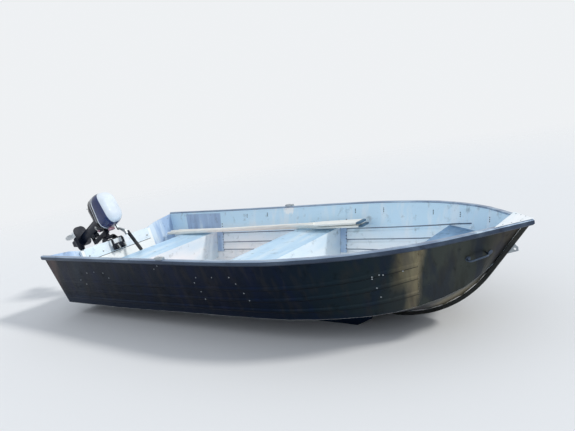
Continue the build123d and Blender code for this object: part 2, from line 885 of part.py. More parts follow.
leg_top = pan_bottom - 2 * seat
leg_low = plate_z + plate_thick / 2 + seat
leg = loft([
    leg_section(leg_low, leg_chord_low, leg_width_low),
    leg_section(leg_top, leg_chord_top, leg_width_top),
])
motor("steering_yoke", (steer_pin + arm_top + arm_low) - leg)
motor("leg", leg)

# Gearcase: anti-ventilation plate, strut, torpedo and skeg in one casting
nose_length = 60.0
barrel = Pos((torpedo_nose - nose_length + torpedo_tail) / 2, 0, prop_axis_z) * Rot(Y=90) * Cylinder(
    torpedo_radius, torpedo_nose - nose_length - torpedo_tail
)
nose = Pos(torpedo_nose - nose_length, 0, prop_axis_z) * scale(
    Sphere(torpedo_radius), by=(nose_length / torpedo_radius, 1, 1)
)
strut = loft([
    leg_section(prop_axis_z, leg_chord_low * 0.95, leg_width_low * 0.8),
    leg_section(plate_z, leg_chord_low, leg_width_low),
])
vent = Pos(leg_centre - plate_length * 0.16, 0, plate_z) * extrude(
    RectangleRounded(plate_length, plate_width, plate_width * 0.36), plate_thick / 2, both=True
)
skeg_top = prop_axis_z - torpedo_radius * 0.8
skeg_low = prop_axis_z - torpedo_radius - skeg_depth
skeg = profile_solid(
    [
        (torpedo_nose - skeg_setback, skeg_top), (torpedo_nose - skeg_setback - skeg_chord, skeg_top),
        (torpedo_nose - skeg_setback + 4 - skeg_chord, skeg_low + 12),
        (torpedo_nose - skeg_setback + 12 - skeg_chord * 0.6, skeg_low),
    ],
    skeg_thick / 2,
)
prop_shaft = Pos(torpedo_tail - prop_hub_length / 2, 0, prop_axis_z) * Rot(Y=90) * Cylinder(
    prop_shaft_radius, prop_hub_length + 2 * prop_gap + 12
)
gearcase = vent + strut + barrel + nose + skeg + prop_shaft
motor("gearcase", gearcase)

# Propeller
hub_x = torpedo_tail - prop_gap - prop_hub_length / 2
hub = Rot(Y=90) * Cylinder(prop_hub_radius, prop_hub_length)
# Blade sections: radius, chord and thickness as shares of the tip radius
BLADE = [(0.20, 0.40, 0.075), (0.45, 0.66, 0.055), (0.75, 0.74, 0.038), (0.98, 0.36, 0.022)]


def lens(chord, thick):
    """Blade section of two arcs that meet in sharp edges."""
    face = ThreePointArc((-chord / 2, 0), (0, thick / 2), (chord / 2, 0))
    back = ThreePointArc((chord / 2, 0), (0, -thick / 2), (-chord / 2, 0))
    return make_face(face + back)


sections = []
for share, chord, thick in BLADE:
    r = share * prop_radius
    angle = degrees(atan2(prop_pitch, 2 * pi * r))
    plane = Plane(origin=(0, 0, r), x_dir=(0, 1, 0), z_dir=(0, 0, 1))
    sections.append(plane * Rot(Z=angle) * lens(chord * prop_radius, thick * prop_radius))
blade = loft(sections)
propeller = hub
for i in range(prop_blades):
    propeller = propeller + Rot(X=i * 360 / prop_blades) * blade
propeller = propeller - Rot(Y=90) * Cylinder(prop_shaft_radius + pin_clearance, 2 * prop_hub_length)
motor("propeller", Pos(hub_x, 0, prop_axis_z) * propeller)

# Cowl pan, engine and upper cowl
pan_top = pan_bottom + pan_height


def pan_form(grow):
    """Flared pan under the cowl, grow outside its own face."""
    return loft([
        Pos(cowl_centre, 0, pan_bottom) * RectangleRounded(
            cowl_length * 0.80 + 2 * grow, cowl_width * 0.72 + 2 * grow, cowl_width * 0.3 + grow),
        Pos(cowl_centre, 0, pan_top) * RectangleRounded(
            cowl_length + 2 * grow, cowl_width + 2 * grow, cowl_width * cowl_corner + grow),
    ])


pan_room = Pos(cowl_centre, 0, pan_bottom + 14) * extrude(
    RectangleRounded(cowl_length * 0.74, cowl_width * 0.64, cowl_width * 0.26), pan_height
)
motor("cowl_pan", pan_form(0) - pan_room)
engine_l, engine_w, engine_h = engine_size
engine_low = pan_bottom + 14 + seat
motor("engine_block", Pos(cowl_centre, 0, engine_low + engine_h / 2) * Box(*engine_size))


def cowl_form(wall):
    """Rounded cowl, wall inside its outer face, leaning in towards its top."""
    length = cowl_length - 2 * wall
    width = cowl_width - 2 * wall
    low = pan_top + cowl_gap
    return loft([
        Pos(cowl_centre, 0, low) * RectangleRounded(length, width, width * cowl_corner),
        Pos(cowl_centre, 0, low + cowl_height * 0.5) * RectangleRounded(
            length, width, width * cowl_corner),
        Pos(cowl_centre + 4, 0, low + cowl_height * 0.82 - wall * 0.5) * RectangleRounded(
            length * 0.86, width * 0.84, width * 0.36),
        Pos(cowl_centre + 8, 0, low + cowl_height - wall) * RectangleRounded(
            length * 0.5, width * 0.42, width * 0.18),
    ])


upper = cowl_form(0) - Pos(0, 0, -1) * cowl_form(cowl_wall)
motor("upper_cowl", upper)

# Tiller: a bracket on the pan, then the arm and its grip on a fold pin
root_x, root_z = tiller_root
arm_place = Pos(root_x, tiller_y, root_z) * Rot(Y=-tiller_rise)
ear_y = tiller_y - 26
ear_aft = cowl_centre + cowl_length * 0.30
ear = Pos(0, ear_y, 0) * profile_solid(
    [
        (ear_aft, pan_top - 28), (ear_aft, pan_top - 8), (-40, pan_top - 4),
        (root_x - 34, root_z + 15), (root_x + 12, root_z + 15), (root_x + 15, root_z - 14),
        (root_x - 16, root_z - 16), (root_x - ear_reach, root_z - ear_fall), (-20, pan_top - 24),
    ],
    9,
)
fold_pin = Pos(root_x, tiller_y - 2, root_z) * Rot(X=90) * Cylinder(tiller_pin_radius, 44)
motor("tiller_bracket", ear + fold_pin - pan_form(seat))
arm_start = -14.0
arm_end = tiller_length - grip_length
arm = Pos((arm_start + arm_end) / 2, 0, 0) * Box(arm_end - arm_start, 24, 26)
arm = arm - Rot(X=90) * Cylinder(tiller_pin_radius + pin_clearance, 60)
motor("tiller_arm", arm_place * arm)
grip = Pos(arm_end + seat + grip_length / 2, 0, 0) * Rot(Y=90) * Cylinder(grip_radius, grip_length)
motor("tiller_grip", arm_place * grip)
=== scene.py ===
import bpy
import json
import math

from mathutils import Matrix, Vector


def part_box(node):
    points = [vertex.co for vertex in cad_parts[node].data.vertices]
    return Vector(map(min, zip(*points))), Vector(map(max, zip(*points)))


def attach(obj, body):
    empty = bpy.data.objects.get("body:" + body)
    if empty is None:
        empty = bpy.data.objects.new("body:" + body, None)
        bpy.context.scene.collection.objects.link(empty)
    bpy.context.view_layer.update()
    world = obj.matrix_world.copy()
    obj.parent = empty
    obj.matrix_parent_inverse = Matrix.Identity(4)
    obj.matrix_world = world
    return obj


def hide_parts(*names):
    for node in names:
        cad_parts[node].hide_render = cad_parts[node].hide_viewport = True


# Open aluminium rowing boat with a tilted outboard motor, in metres.
# +X is the bow, +Y is port, +Z is up and the floor is at z = 0.
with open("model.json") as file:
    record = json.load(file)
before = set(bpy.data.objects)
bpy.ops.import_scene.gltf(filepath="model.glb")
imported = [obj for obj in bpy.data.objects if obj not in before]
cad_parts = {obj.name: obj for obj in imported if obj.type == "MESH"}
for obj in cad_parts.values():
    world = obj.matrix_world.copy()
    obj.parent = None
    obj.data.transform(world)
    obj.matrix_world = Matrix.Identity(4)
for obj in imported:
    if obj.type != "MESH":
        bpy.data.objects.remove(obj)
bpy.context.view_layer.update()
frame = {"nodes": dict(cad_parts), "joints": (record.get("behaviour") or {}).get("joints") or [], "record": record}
nodes = frame["nodes"]
record = frame["record"]
body_of = {n: b for b, members in record["behaviour"]["bodies"].items() for n in members}
joints = {row["name"]: row for row in frame["joints"]}

# Camera of the photograph, in the boat's frame
camera_place = Vector((3.157, -3.548, 1.640))
camera_yaw = math.radians(129.448)
camera_pitch = math.radians(-11.081)
camera_roll = math.radians(-10.018)
camera_lens = 37.565

# Finish of edges and surfaces. Edges sharper than an angle in degrees are rounded
merge_distance = 0.00005
flat_angle = math.radians(0.4)
edge_angle = 25.0
edge_angles = {"upper_cowl": 12.0}
smooth_margin = 8.0
# Painted shade under the outer ridges lies forward of this x
ridge_shade_x = -0.3

# Rivets: the head, the rows along the chine and the seam, the columns inside
rivet_radius = 0.0052
rivet_rise = 0.0024
chine_step = 0.080
chine_inset = 0.012
seam_rivets_x = 1.545
column_drop = 0.013

# Marks on the plating: the stain under the rowlock, colours that lean aft above a level, and the painted
# reflection low on the bow
rowlock_x = -0.385
lean_level = 0.28
lean_share = 0.36
# Painted reflection low on the bow: its span along x and its top edge's rise in z
bow_reflection_x = (1.45, 1.90)
bow_reflection_z = (0.130, 0.430)

# Motor, in its upright frame, which starts at the tilt pin
cowl_foot = 0.1055
cowl_rise = 0.218
cowl_middle = -0.232
stripe_slope = 0.9
# Painted sky reflection on the cowl's top: the level above which it lies and how fast it drops to the sides
reflection_level = 0.66
reflection_curve = 20.0
pan_side = 0.1135
latch_z = 0.108
lever_x = -0.120
lever_z = 0.062
mount_x = -0.116
case_screws_x = -0.160
case_screws_z = (-0.440, -0.475)
inlet_x = (-0.205, -0.217, -0.229)
inlet_z = -0.452
starter_y = -0.030
starter_z = 0.165
tiller_rise = math.radians(12)
motor_tilt = math.radians(63.0)
pivot = Vector(joints["motor_tilt"]["pos_m"])
motor_frame = Matrix.Translation(pivot) @ Matrix.Rotation(motor_tilt, 4, "Y")
motor_turn = motor_frame.to_3x3()

# Floor, which fades between two distances, and light
floor_size = 60.0
floor_fade = (4.5, 11.0)
sky_strength = 0.76
sun_strength = 1.7
sun_way = (-0.85, -0.36, -0.72)


# Working with objects
def only(obj):
    """Selects one object and makes it active."""
    if bpy.context.object and bpy.context.object.mode != "OBJECT":
        bpy.ops.object.mode_set(mode="OBJECT")
    bpy.ops.object.select_all(action="DESELECT")
    obj.select_set(True)
    bpy.context.view_layer.objects.active = obj


def modify(obj, kind, **settings):
    """Adds a modifier and applies it."""
    only(obj)
    made = obj.modifiers.new(kind.lower(), kind)
    for name, value in settings.items():
        setattr(made, name, value)
    bpy.ops.object.modifier_apply(modifier=made.name)


def smooth(obj, angle):
    """Smooth shading that stays sharp over an angle in degrees."""
    only(obj)
    bpy.ops.object.shade_smooth_by_angle(angle=math.radians(angle))
    modify(obj, "WEIGHTED_NORMAL", keep_sharp=True)


def rounded(obj, width, segments, angle=edge_angle):
    """Rounds the edges that are sharper than an angle in degrees."""
    modify(
        obj, "BEVEL", width=width, segments=segments, limit_method="ANGLE",
        angle_limit=math.radians(angle), use_clamp_overlap=True,
    )


def placed(obj):
    """Puts the object's place into its mesh."""
    bpy.context.view_layer.update()
    obj.data.transform(obj.matrix_world)
    obj.matrix_world = Matrix.Identity(4)


def joined(pieces, name):
    """Makes one object of several."""
    only(pieces[0])
    for piece in pieces:
        piece.select_set(True)
    if len(pieces) > 1:
        bpy.ops.object.join()
    made = bpy.context.object
    made.name = name
    return made


def owned(obj, name, body, made):
    """Names a new piece, gives it its material and lets it ride."""
    obj.name = name
    obj.data.name = name
    obj.data.materials.clear()
    obj.data.materials.append(made)
    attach(obj, body)
    return obj


def fitted(pieces, name, body, made, angle=35.0):
    """Joins loose forms into one smooth piece that rides on a body."""
    piece = joined(pieces, name)
    smooth(piece, angle)
    return owned(piece, name, body, made)


# Materials
def srgb(red, green, blue):
    """A colour written in 0 to 255, as the linear values of a shader."""
    linear = []
    for part in (red / 255, green / 255, blue / 255):
        linear.append(part / 12.92 if part <= 0.04045 else ((part + 0.055) / 1.055) ** 2.4)
    return (*linear, 1.0)


def material(name, metallic, roughness, **sockets):
    """A principled material. Its other sockets are named with _ for a space."""
    made = bpy.data.materials.new(name)
    made.use_nodes = True
    shader = made.node_tree.nodes["Principled BSDF"]
    shader.inputs["Metallic"].default_value = metallic
    shader.inputs["Roughness"].default_value = roughness
    for socket, value in sockets.items():
        shader.inputs[socket.replace("_", " ")].default_value = value
    return made


def node(made, kind, **settings):
    """A new shader node of a material or world."""
    added = made.node_tree.nodes.new("ShaderNode" + kind)
    for name, value in settings.items():
        setattr(added, name, value)
    return added


def link(made, source, target):
    made.node_tree.links.new(source, target)


def shader_input(made, name):
    return made.node_tree.nodes["Principled BSDF"].inputs[name]


def coordinates(made, stretch=(1, 1, 1), place=(0, 0, 0), turn=(0, 0, 0)):
    """Object coordinates, stretched, or read in the motor's own frame."""
    mapping = node(made, "Mapping", vector_type="TEXTURE" if any(place) else "POINT")
    mapping.inputs["Location"].default_value = place
    mapping.inputs["Rotation"].default_value = turn
    mapping.inputs["Scale"].default_value = stretch
    link(made, node(made, "TexCoord").outputs["Object"], mapping.inputs["Vector"])
    return mapping.outputs["Vector"]


def noise(made, scale, stretch=(1, 1, 1), detail=3.0, roughness=0.5):
    texture = node(made, "TexNoise")
    texture.inputs["Scale"].default_value = scale
    texture.inputs["Detail"].default_value = detail
    texture.inputs["Roughness"].default_value = roughness
    link(made, coordinates(made, stretch), texture.inputs["Vector"])
    return texture.outputs["Fac"]


def ranged(made, value, low, high, to_low, to_high):
    """The value, mapped from one range to another and held inside it."""
    mapped = node(made, "MapRange", clamp=True)
    link(made, value, mapped.inputs["Value"])
    names = ("From Min", "From Max", "To Min", "To Max")
    for name, number in zip(names, (low, high, to_low, to_high)):
        mapped.inputs[name].default_value = number
    return mapped.outputs["Result"]


def ramp(made, value, stops, interpolation="LINEAR"):
    """A colour by (position, colour) stops."""
    made_ramp = node(made, "ValToRGB")
    link(made, value, made_ramp.inputs["Fac"])
    row = made_ramp.color_ramp
    row.interpolation = interpolation
    while len(row.elements) < len(stops):
        row.elements.new(0.5)
    for element, (position, colour) in zip(row.elements, stops):
        element.position = position
        element.color = colour
    return made_ramp.outputs["Color"]


def mixed(made, factor, first, second, kind="MIX"):
    """Two colours, mixed by a factor."""
    mixer = node(made, "Mix", data_type="RGBA", blend_type=kind)
    for socket, value in ((0, factor), (6, first), (7, second)):
        if isinstance(value, (int, float, tuple)):
            mixer.inputs[socket].default_value = value
        else:
            link(made, value, mixer.inputs[socket])
    return mixer.outputs[2]


def math_of(made, operation, first, second):
    """Sum, product or the like of two values."""
    worked = node(made, "Math", operation=operation)
    for socket, value in enumerate((first, second)):
        if isinstance(value, (int, float)):
            worked.inputs[socket].default_value = value
        else:
            link(made, value, worked.inputs[socket])
    return worked.outputs[0]


def relief(made, *layers):
    """Bump from (height, distance in metres) layers."""
    normal = None
    for height, distance in layers:
        bump = node(made, "Bump")
        bump.inputs["Strength"].default_value = 1.0
        bump.inputs["Distance"].default_value = distance
        link(made, height, bump.inputs["Height"])
        if normal:
            link(made, normal, bump.inputs["Normal"])
        normal = bump.outputs["Normal"]
    link(made, normal, shader_input(made, "Normal"))


def position(made, axis):
    """One of the object coordinates."""
    split = node(made, "SeparateXYZ")
    link(made, node(made, "TexCoord").outputs["Object"], split.inputs["Vector"])
    return split.outputs[axis]


def shifted(made, value, scale, stretch, amount):
    """The value, moved up and down by noise."""
    waver = math_of(made, "SUBTRACT", noise(made, scale, stretch, detail=4.0), 0.5)
    return math_of(made, "ADD", value, math_of(made, "MULTIPLY", waver, amount))


def banded(made, colour, scale, stretch, detail, span, amount, tone):
    """The colour with clouds of another tone, where noise passes through a span."""
    clouds = ranged(made, noise(made, scale, stretch, detail), *span, 0.0, amount)
    return mixed(made, clouds, colour, srgb(*tone))


def worn_sheet(made, colour, streaks, gloss, lift, dents):
    """Finish of bare sheet: drawn streaks, scratches, dull spots and shallow dents."""
    fine = noise(made, 26.0, (streaks[0] * 5, streaks[1] * 5, streaks[2]), detail=5.0)
    colour = mixed(made, ranged(made, fine, 0.35, 0.7, 0.0, lift), colour, srgb(200, 208, 214))
    spots = noise(made, 13.0, detail=6.0, roughness=0.65)
    grime = ranged(made, spots, 0.58, 0.72, 0.0, 0.45)
    colour = mixed(made, grime, colour, srgb(128, 128, 122), "MULTIPLY")
    link(made, colour, shader_input(made, "Base Color"))
    dull = ranged(made, fine, 0.3, 0.7, gloss[0], gloss[1])
    dull = math_of(made, "ADD", dull, math_of(made, "MULTIPLY", grime, 0.3))
    link(made, dull, shader_input(made, "Roughness"))
    relief(made, (noise(made, 3.2, detail=2.0), dents), (fine, 0.00025))
    return made


def sheet_alloy(name, stops, gloss, streaks, metallic=0.85, lift=0.12):
    """Bare sheet with its colour in broad clouds."""
    made = material(name, metallic, 0.35)
    stops = [(at, srgb(*tone)) for at, tone in stops]
    colour = ramp(made, noise(made, 1.6, streaks, detail=4.0), stops)
    return worn_sheet(made, colour, streaks, gloss, lift, 0.006)


def outer_sheet(name, lengthwise, foot, bow_low_reflection):
    """Outer plating in painted shade: colour by place along the boat with painted reflections, a bluer foot and a
    painted reflection low on the bow.
    """
    made = material(name, 0.96, 0.35, Specular_IOR_Level=0.25)
    streaks = (9, 9, 0.5)
    lean = math_of(made, "SUBTRACT", position(made, "Z"), lean_level)
    lean = math_of(made, "MULTIPLY", lean, lean_share)
    x = math_of(made, "SUBTRACT", position(made, "X"), lean)
    x = shifted(made, x, 1.6, streaks, 0.07)
    z = shifted(made, position(made, "Z"), 2.0, (2, 2, 2), 0.03)
    low, high = lengthwise[0][0], lengthwise[-1][0]
    stops = [((at - low) / (high - low), srgb(*tone)) for at, tone in lengthwise]
    colour = ramp(made, ranged(made, x, low, high, 0.0, 1.0), stops)
    # Upright clouds of painted reflection, one bluer and one greyer
    colour = banded(made, colour, 2.4, (4.5, 4.5, 0.3), 3.0, (0.48, 0.62), 0.35, (8, 24, 60))
    colour = banded(made, colour, 3.7, (5.5, 5.5, 0.4), 4.0, (0.50, 0.64), 0.35, (50, 48, 46))

    # The warm painted reflection aft of the seam fades towards its foot
    warm_reflection = ranged(made, x, 1.24, 1.32, 0.0, 1.0)
    warm_reflection = math_of(made, "MULTIPLY", warm_reflection, ranged(made, x, 1.38, 1.43, 1.0, 0.0))
    warm_reflection = math_of(made, "MULTIPLY", warm_reflection, ranged(made, z, 0.34, 0.48, 0.9, 0.0))
    colour = mixed(made, warm_reflection, colour, srgb(44, 52, 56))
    colour = mixed(made, ranged(made, z, 0.155, 0.235, 0.75, 0.0), colour, srgb(*foot))

    # The painted reflection lies under a line that rises to the stem
    above = math_of(made, "SUBTRACT", z, ranged(made, x, *bow_reflection_x, *bow_reflection_z))
    near_bow = ranged(made, x, 1.42, 1.52, 0.0, 0.9)
    low_part = math_of(made, "MULTIPLY", near_bow, ranged(made, above, -0.01, 0.03, 1.0, 0.0))
    colour = mixed(made, low_part, colour, srgb(*bow_low_reflection))
    return worn_sheet(made, colour, streaks, (0.34, 0.50), 0.012, 0.004)


def inner_sheet(name, low, high, upright, gloss):
    """Inner plating in painted light: paler low down and bluer high up as painted reflection, with upright bands
    of painted reflection and a white stain below the rowlock.
    """
    made = material(name, 0.18, 0.4)
    z = shifted(made, position(made, "Z"), 2.2, (1.5, 1.5, 1.5), 0.14)
    stops = [(0.25, srgb(*low)), (0.72, srgb(*high))]
    colour = ramp(made, ranged(made, z, 0.10, 0.62, 0.0, 1.0), stops)
    # Upright bands of painted reflection
    colour = banded(made, colour, 3.0, (3.5, 3.5, 0.3), 3.0, (0.50, 0.66), 0.45, upright)
    beside = math_of(made, "SUBTRACT", position(made, "X"), rowlock_x)
    beside = math_of(made, "ABSOLUTE", beside, 0.0)
    spread = ranged(made, position(made, "Z"), 0.50, 0.585, 0.0, 1.0)
    spread = math_of(made, "MULTIPLY", spread, ranged(made, beside, 0.02, 0.11, 1.0, 0.0))
    drips = math_of(made, "MULTIPLY", spread, noise(made, 22.0, (2.2, 2.2, 0.35), detail=4.0))
    colour = mixed(made, ranged(made, drips, 0.24, 0.36, 0.0, 0.9), colour, srgb(252, 254, 254))
    return worn_sheet(made, colour, (3, 3, 0.8), gloss, 0.12, 0.006)


def paint(name, colour, worn, roughness, coat):
    """Paint with faint mottling, chips at random and fine orange peel."""
    made = material(name, 0.0, roughness, Coat_Weight=coat, Specular_IOR_Level=0.2)
    mottle = ranged(made, noise(made, 6.0, detail=4.0), 0.35, 0.7, 0.0, 0.35)
    shade = mixed(made, mottle, colour, tuple(0.78 * c for c in colour[:3]) + (1.0,))
    chips = noise(made, 55.0, detail=6.0, roughness=0.7)
    chips = ranged(made, chips, 0.66, 0.70, 0.0, 1.0)
    link(made, mixed(made, chips, shade, worn), shader_input(made, "Base Color"))
    dull = noise(made, 18.0, detail=3.0)
    dull = ranged(made, dull, 0.3, 0.7, roughness - 0.06, roughness + 0.12)
    link(made, dull, shader_input(made, "Roughness"))
    relief(made, (noise(made, 420.0, detail=1.0), 0.00008))
    return made


def cowl_paint(pale, dark, low, stripe):
    """Cowl: a pale top that is a painted sky reflection, with a sharp sloping edge, dark sides, two thin stripes
    low down.
    """
    made = material("cowl paint", 0.0, 0.2, Coat_Weight=0.35, Coat_Roughness=0.08)
    upright = node(made, "SeparateXYZ")
    in_motor = coordinates(made, place=tuple(pivot), turn=(0, motor_tilt, 0))
    link(made, in_motor, upright.inputs["Vector"])
    x, y, z = (upright.outputs[axis] for axis in "XYZ")
    height = ranged(made, z, cowl_foot, cowl_foot + cowl_rise, 0.0, 1.0)
    fore = math_of(made, "SUBTRACT", x, cowl_middle)
    level = math_of(made, "ADD", height, math_of(made, "MULTIPLY", fore, stripe_slope))
    stops = [(0.0, low), (0.10, stripe), (0.12, low), (0.25, stripe), (0.31, dark)]
    colour = ramp(made, level, stops, "CONSTANT")
    # Painted sky reflection: the pale crown, above a level that drops towards the sides
    beside = math_of(made, "MULTIPLY", math_of(made, "MULTIPLY", y, y), reflection_curve)
    crown_reflection = math_of(made, "SUBTRACT", height, beside)
    crown_reflection = ranged(made, crown_reflection, reflection_level - 0.005, reflection_level + 0.005, 0.0, 1.0)
    colour = mixed(made, crown_reflection, colour, pale)
    mottle = ranged(made, noise(made, 8.0, detail=4.0), 0.35, 0.7, 0.0, 0.18)
    colour = mixed(made, mottle, colour, srgb(60, 66, 78), "MULTIPLY")
    link(made, colour, shader_input(made, "Base Color"))
    scuffs = ranged(made, noise(made, 40.0, (1, 1, 6), detail=5.0), 0.45, 0.75, 0.16, 0.42)
    link(made, scuffs, shader_input(made, "Roughness"))
    relief(made, (noise(made, 300.0, detail=1.0), 0.00005))
    return made


def grained(name, light, dark, roughness):
    """Painted or bare timber with grain along X."""
    made = material(name, 0.0, roughness)
    grain = noise(made, 9.0, (1, 18, 18), detail=6.0, roughness=0.6)
    colour = ramp(made, grain, [(0.35, light), (0.70, dark)])
    wear = ranged(made, noise(made, 4.0, detail=5.0), 0.5, 0.75, 0.0, 0.5)
    colour = mixed(made, wear, colour, dark)
    link(made, colour, shader_input(made, "Base Color"))
    dull = ranged(made, grain, 0.3, 0.7, roughness - 0.08, roughness + 0.15)
    link(made, dull, shader_input(made, "Roughness"))
    relief(made, (grain, 0.0006))
    return made


def moulded(name, colour, roughness):
    """Rubber or plastic with a fine cast texture."""
    made = material(name, 0.0, roughness)
    mottle = ranged(made, noise(made, 30.0, detail=4.0), 0.35, 0.7, 0.0, 1.0)
    lighter = tuple(min(1.0, c * 1.7 + 0.01) for c in colour[:3]) + (1.0,)
    link(made, mixed(made, mottle, colour, lighter), shader_input(made, "Base Color"))
    relief(made, (noise(made, 700.0, detail=2.0), 0.0002))
    return made


# Colours of the outer plating, as x and the tone there: painted shade, with warm and light patches of painted
# reflection
outer_shade_tones = [
    (-2.16, (50, 44, 48)), (-2.09, (80, 66, 64)), (-2.03, (70, 60, 60)), (-1.98, (14, 22, 36)),
    (-1.82, (8, 18, 34)), (-1.70, (18, 32, 48)), (-1.58, (7, 18, 34)), (-0.90, (7, 20, 36)),
    (0.10, (7, 19, 40)), (0.60, (13, 26, 42)), (1.00, (24, 38, 46)), (1.30, (38, 48, 52)),
    (1.335, (92, 88, 72)), (1.40, (132, 126, 102)), (1.44, (128, 120, 98)), (1.462, (62, 68, 66)),
    (1.62, (68, 72, 68)), (1.72, (52, 58, 56)), (1.80, (72, 70, 64)), (1.95, (96, 88, 76)),
]
# Outer plating: dark painted shade instead of the bare sheet's own colour
outer_shade_alloy = outer_sheet("outer sheet alloy in painted shade", outer_shade_tones, foot=(16, 34, 58), bow_low_reflection=(140, 132, 108))
# Inner plating: its white foot and blue top are painted light and sky reflection
inner_lit_alloy = inner_sheet(
    "inner sheet alloy in painted light", (255, 255, 255), (206, 236, 255), (240, 248, 254), (0.30, 0.50),
)
# Painted shade: the transom plate's aft faces, darker than its lit forward faces
transom_shade_alloy = sheet_alloy(
    "transom sheet alloy in painted shade",
    [(0.30, (40, 50, 62)), (0.52, (56, 66, 76)), (0.70, (84, 92, 98))],
    (0.30, 0.46), (7, 7, 0.5), metallic=0.9, lift=0.03,
)
# Painted shade: the keel and stem bar's outside, darker than its inboard faces
keel_shade_alloy = sheet_alloy(
    "keel bar alloy in painted shade",
    [(0.30, (34, 36, 38)), (0.55, (46, 48, 46)), (0.75, (68, 66, 60))],
    (0.36, 0.52), (0.6, 6, 6), metallic=0.85, lift=0.03,
)
knee_alloy = sheet_alloy(
    "knee sheet alloy",
    [(0.30, (150, 172, 204)), (0.50, (176, 200, 230)), (0.66, (222, 236, 248))],
    (0.30, 0.50), (7, 7, 0.35), metallic=0.35,
)
# Painted shade on the top flanks of the inner grooves
groove_shade_alloy = sheet_alloy(
    "groove painted shade",
    [(0.30, (86, 100, 118)), (0.55, (108, 122, 140)), (0.75, (128, 142, 158))],
    (0.40, 0.60), (1, 4, 4), metallic=0.4,
)
# Painted shade under the ridges pressed out of the outer plating
ridge_shade_alloy = sheet_alloy(
    "ridge underside painted shade",
    [(0.30, (4, 9, 18)), (0.55, (8, 14, 24)), (0.75, (16, 22, 30))],
    (0.45, 0.60), (1, 4, 4), metallic=0.9, lift=0.01,
)
# Thwart tops: a bluer copy of the thwart sheet, painted sky reflection
thwart_top_reflection_alloy = sheet_alloy(
    "thwart top painted sky reflection",
    [(0.30, (176, 212, 240)), (0.52, (196, 228, 250)), (0.70, (222, 240, 252))],
    (0.30, 0.48), (5, 1.2, 5), metallic=0.3,
)
thwart_alloy = sheet_alloy(
    "thwart sheet alloy",
    [(0.30, (220, 238, 250)), (0.52, (236, 246, 252)), (0.70, (250, 252, 254))],
    (0.30, 0.48), (5, 1.2, 5), metallic=0.12,
)
# Bow seat top: painted shadow of the bow's port side, darker and bluer than its fore face
seat_shadow_alloy = sheet_alloy(
    "bow seat top painted shadow",
    [(0.30, (98, 138, 178)), (0.52, (110, 152, 190)), (0.70, (136, 172, 204))],
    (0.30, 0.45), (5, 1.2, 5), metallic=0.5,
)
# Rails: darker sides in painted shade, paler tops and inner lips in painted highlight
rail_shade_alloy = sheet_alloy(
    "rail side painted shade",
    [(0.30, (42, 54, 76)), (0.52, (54, 68, 88)), (0.70, (74, 88, 106))],
    (0.28, 0.45), (1, 9, 9), metallic=0.75, lift=0.06,
)
rail_top_highlight_alloy = sheet_alloy(
    "rail top painted highlight",
    [(0.30, (118, 134, 160)), (0.52, (144, 164, 188)), (0.70, (186, 204, 220))],
    (0.28, 0.45), (1, 9, 9), metallic=0.75,
)
cast_alloy = sheet_alloy(
    "cast alloy",
    [(0.30, (138, 146, 154)), (0.55, (164, 172, 178)), (0.75, (190, 196, 200))],
    (0.35, 0.5), (6, 6, 6),
)
prop_alloy = sheet_alloy(
    "propeller alloy",
    [(0.30, (228, 236, 240)), (0.55, (244, 248, 250)), (0.75, (254, 255, 255))],
    (0.30, 0.5), (8, 8, 8), metallic=0.05,
)
zinc = sheet_alloy(
    "zinc plate",
    [(0.30, (150, 152, 150)), (0.60, (190, 192, 190)), (0.80, (214, 214, 208))],
    (0.25, 0.42), (12, 12, 12),
)
pad_paint = grained("pad paint", srgb(255, 255, 253), srgb(238, 243, 241), 0.45)
board_wood = grained("floorboard ply", srgb(244, 208, 202), srgb(204, 166, 160), 0.62)
oar_paint = grained("oar paint", srgb(255, 253, 246), srgb(222, 221, 214), 0.38)
tip_paint = grained("oar tip paint", srgb(70, 106, 132), srgb(44, 76, 102), 0.38)
leg_paint = paint("leg paint", srgb(8, 20, 38), srgb(84, 100, 120), 0.40, coat=0.1)
pan_paint = paint("pan paint", srgb(24, 22, 36), srgb(112, 96, 98), 0.40, coat=0.1)
bracket_paint = paint("bracket paint", srgb(16, 22, 34), srgb(150, 160, 170), 0.46, coat=0.05)
# The cowl's first, pale colour is the painted sky reflection on its top
cowl = cowl_paint(srgb(226, 236, 246), srgb(16, 42, 96), srgb(16, 14, 30), srgb(224, 232, 240))
knob_plastic = moulded("knob plastic", srgb(122, 92, 104), 0.4)
rubber = moulded("black rubber", srgb(24, 25, 28), 0.6)
engine_cast = moulded("engine casting", srgb(78, 80, 84), 0.5)


# Finished copies of the solids
finished = {}


def dressed(name, materials, bevel, segments, chosen):
    """A copy of a node with merged points, rounded edges and smooth shading.

    chosen gives the place in materials that each face takes."""
    piece = bpy.data.objects.new(name + "_finish", nodes[name].data.copy())
    bpy.context.collection.objects.link(piece)
    piece.data.materials.clear()
    for made in materials:
        piece.data.materials.append(made)
    only(piece)
    bpy.ops.mesh.customdata_custom_splitnormals_clear()
    bpy.ops.object.mode_set(mode="EDIT")
    bpy.ops.mesh.select_all(action="SELECT")
    bpy.ops.mesh.remove_doubles(threshold=merge_distance)
    bpy.ops.mesh.dissolve_limited(angle_limit=flat_angle)
    bpy.ops.object.mode_set(mode="OBJECT")
    for face in piece.data.polygons:
        face.material_index = int(chosen(face)) if chosen else 0
    angle = edge_angles.get(name, edge_angle)
    if bevel:
        rounded(piece, bevel, segments, angle)
    smooth(piece, angle + smooth_margin)
    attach(piece, body_of[name])
    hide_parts(name)
    finished[name] = piece


def faces_in(face):
    """1 for plating that looks into the boat, 2 for painted shade in its grooves' tops, 3 for painted shade under
    the outer ridges.
    """
    outward = face.normal.y * face.center.y > -0.02
    if outward:
        shaded_under_ridge = face.normal.z < -0.6 and face.center.x > ridge_shade_x
        return 3 if shaded_under_ridge else 0
    shaded_groove_top = face.normal.z < -0.12
    return 2 if shaded_groove_top else 1


def faces_up(face):
    return face.normal.z > 0.3


